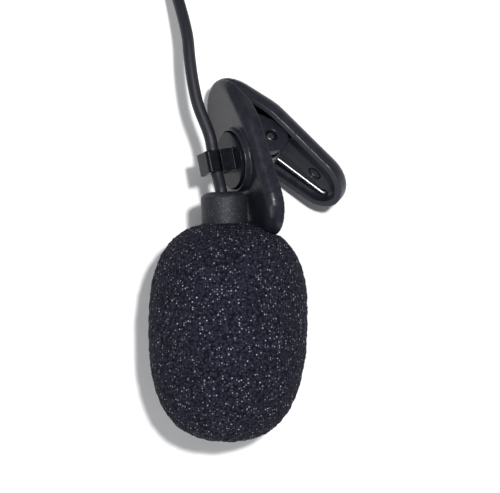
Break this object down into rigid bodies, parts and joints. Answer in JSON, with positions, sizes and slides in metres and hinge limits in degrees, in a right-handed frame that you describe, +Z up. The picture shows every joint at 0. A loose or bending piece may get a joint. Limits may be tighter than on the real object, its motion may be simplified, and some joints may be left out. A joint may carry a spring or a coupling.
{
  "type": "lavalier microphone",
  "caption": "Black lavalier microphone with a foam windscreen, a swivelling spring clip, and a thin cord in a tied coil that ends in a jack plug.",
  "frame": {"origin": "on the table under the middle of the microphone and clip", "axes": "+Z up, +Y along the microphone towards its cord"},
  "size_m": [0.052, 0.1231, 0.0263],
  "materials": {
    "foam": "open-cell sponge",
    "barrel": "fine matte black",
    "mesh": "matte black",
    "cloth": "matte",
    "boot": "matte",
    "aluminium": "satin",
    "felt": "felt",
    "brass": "bright",
    "film": "metallised",
    "ivory": "moulded",
    "board": "circuit board",
    "chip": "moulded",
    "lead": "insulated wire",
    "jacket": "satin cord jacket",
    "tie": "satin",
    "plug_plastic": "satin moulding",
    "nickel": "bright plated",
    "insulator": "gloss",
    "clip_plastic": "semi-gloss moulded",
    "spring_steel": "bright drawn wire"
  },
  "bodies": {
    "microphone": {"mic_barrel": "barrel", "front_grille": "mesh", "dust_cloth": "cloth", "capsule_boot": "boot", "capsule_can": "aluminium", "capsule_felt": "felt", "diaphragm_ring": "brass", "diaphragm_film": "film", "back_plate": "brass", "insulating_cup": "ivory", "contact_ring": "brass", "capsule_board": "board", "transistor": "chip", "lead_wires": "lead", "cord_crimp": "aluminium", "cord": "jacket", "cord_coil": "jacket", "coil_tie": "tie", "cord_tail": "jacket", "plug_relief": "plug_plastic", "plug_grip": "plug_plastic", "plug_sleeve": "nickel", "plug_ring": "nickel", "plug_tip": "nickel", "plug_insulators": "insulator"},
    "windscreen": {"foam_windscreen": "foam"},
    "holder": {"swivel_holder": "clip_plastic", "stud_washer": "spring_steel"},
    "front_clip": {"front_lever": "clip_plastic", "pivot_pin": "spring_steel", "jaw_spring": "spring_steel"},
    "back_clip": {"back_lever": "clip_plastic"}
  },
  "joints": [
    {"name": "windscreen_slide", "type": "slide", "parent": "microphone", "child": "windscreen", "axis": [0, -0.9994, -0.0349], "range_m": [0, 0.024]},
    {"name": "holder_slide", "type": "slide", "parent": "microphone", "child": "holder", "axis": [-0.1634, 0.9824, -0.091], "range_m": [0, 0.003]},
    {"name": "clip_swivel", "type": "hinge", "parent": "holder", "child": "front_clip", "pos_m": [-0.00235, 0.01645, 0.01183], "axis": [-0.8942, -0.1085, 0.4343], "range_deg": [0, 90]},
    {"name": "jaw_hinge", "type": "hinge", "parent": "front_clip", "child": "back_clip", "pos_m": [0.0031, 0.01792, 0.0087], "axis": [-0.3357, -0.4791, -0.811], "range_deg": [0, 30], "stiffness_Nm_per_rad": 0.02, "springref_deg": -28.65, "deforming": ["jaw_spring"]}
  ]
}
